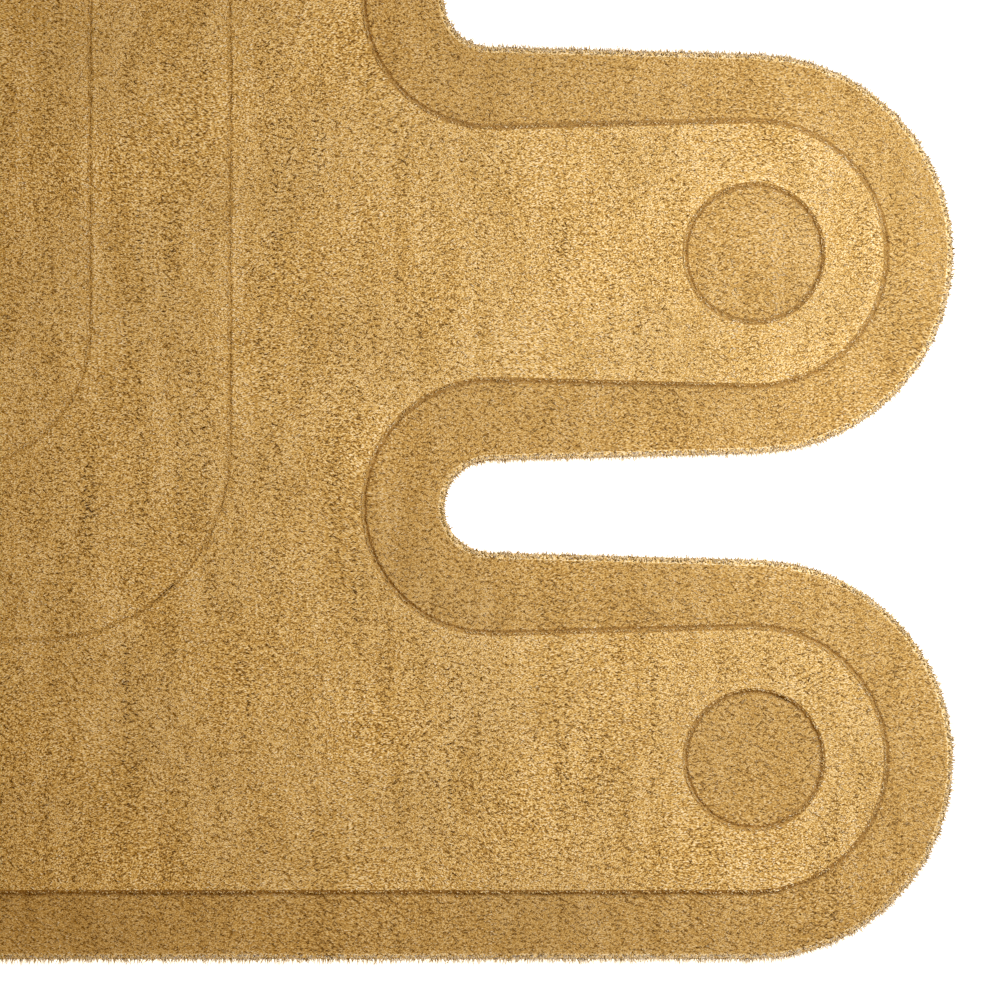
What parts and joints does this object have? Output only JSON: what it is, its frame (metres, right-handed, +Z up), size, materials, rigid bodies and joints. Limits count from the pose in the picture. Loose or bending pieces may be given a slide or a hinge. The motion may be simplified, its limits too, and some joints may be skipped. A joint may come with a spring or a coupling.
{
  "type": "tufted wool rug",
  "caption": "Flat tufted wool rug with four equal round lobes at each end, a carved border line, sunk round discs in the lobes and nested carved panels in the middle.",
  "frame": {"origin": "on the floor, under the middle of the rug's outline", "axes": "+X along the rug's long side, +Y along its short side, +Z up through the pile"},
  "size_m": [2.408, 1.92, 0.016],
  "materials": {
    "wool_pile": "cut wool pile, matt, ochre"
  },
  "bodies": {
    "root": {"rug": "wool_pile"}
  },
  "joints": []
}
